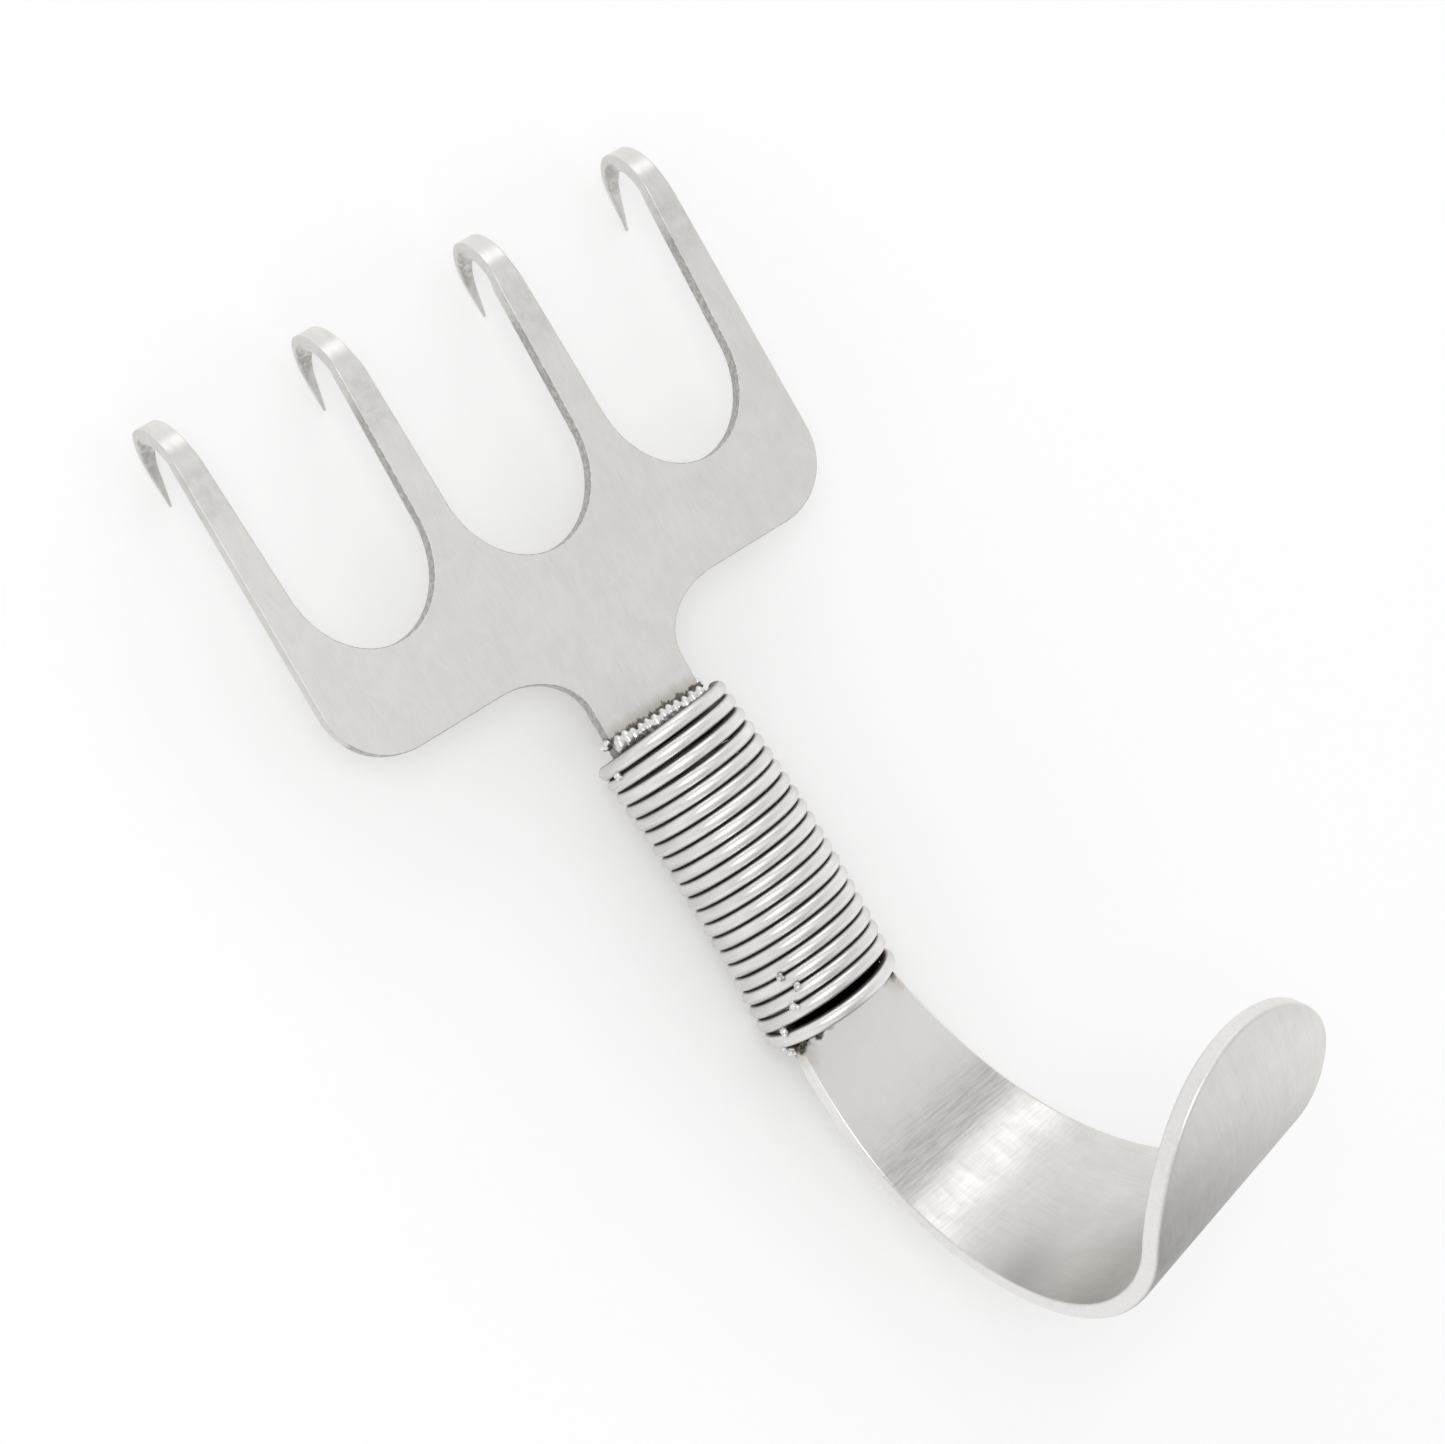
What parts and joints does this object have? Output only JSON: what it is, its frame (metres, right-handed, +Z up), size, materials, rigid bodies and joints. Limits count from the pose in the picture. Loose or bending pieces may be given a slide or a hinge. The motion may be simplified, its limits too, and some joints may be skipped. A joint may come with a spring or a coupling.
{
  "type": "rake retractor with a coil-spring neck",
  "caption": "Flat steel rake with down-curved pointed prongs, a close-wound coil-spring neck that flexes, and a curled finger hook to pull on.",
  "frame": {"origin": "middle of the footprint, on the surface that the prong points and the coil rest on", "axes": "+X from the prongs to the finger hook, +Z up out of the rake's upper face, +Y across the prongs"},
  "size_m": [0.1004, 0.0508, 0.0592],
  "materials": {
    "sheet_steel": "satin stainless sheet with a fine brushed grain",
    "spring_wire": "bright drawn stainless spring wire",
    "weld_metal": "shiny rippled weld metal with dark heat marks at its edge"
  },
  "bodies": {
    "rake": {"rake_plate": "sheet_steel", "neck_weld_upper": "weld_metal", "neck_weld_lower": "weld_metal", "neck_weld_near": "weld_metal", "neck_weld_far": "weld_metal", "tack_weld_1": "weld_metal"},
    "neck_front": {"coil_front_turns": "spring_wire"},
    "neck_rear": {"coil_middle_turns": "spring_wire", "coil_rear_turns": "spring_wire", "tack_weld_2": "weld_metal", "tack_weld_3": "weld_metal", "tack_weld_4": "weld_metal", "tack_weld_5": "weld_metal"},
    "tail": {"finger_hook": "sheet_steel", "hook_weld_near": "weld_metal", "hook_weld_far": "weld_metal"}
  },
  "joints": [
    {"name": "neck_bend", "type": "hinge", "parent": "rake", "child": "neck_front", "pos_m": [-0.00121, -0.00065, 0.00701], "axis": [0, 1, 0], "range_deg": [-15, 15], "stiffness_Nm_per_rad": 1.2, "deforming": ["coil_front_turns"]},
    {"name": "neck_stretch", "type": "slide", "parent": "neck_front", "child": "neck_rear", "axis": [0.9982, 0, -0.0593], "range_m": [0, 0.008], "stiffness_N_per_m": 880, "springref_m": -0.004, "deforming": ["coil_middle_turns"]},
    {"name": "neck_sway", "type": "hinge", "parent": "neck_rear", "child": "tail", "pos_m": [0.01636, -0.00065, 0.00596], "axis": [0.0593, 0, 0.9982], "range_deg": [-15, 15], "stiffness_Nm_per_rad": 1.2, "deforming": ["coil_rear_turns"]}
  ]
}
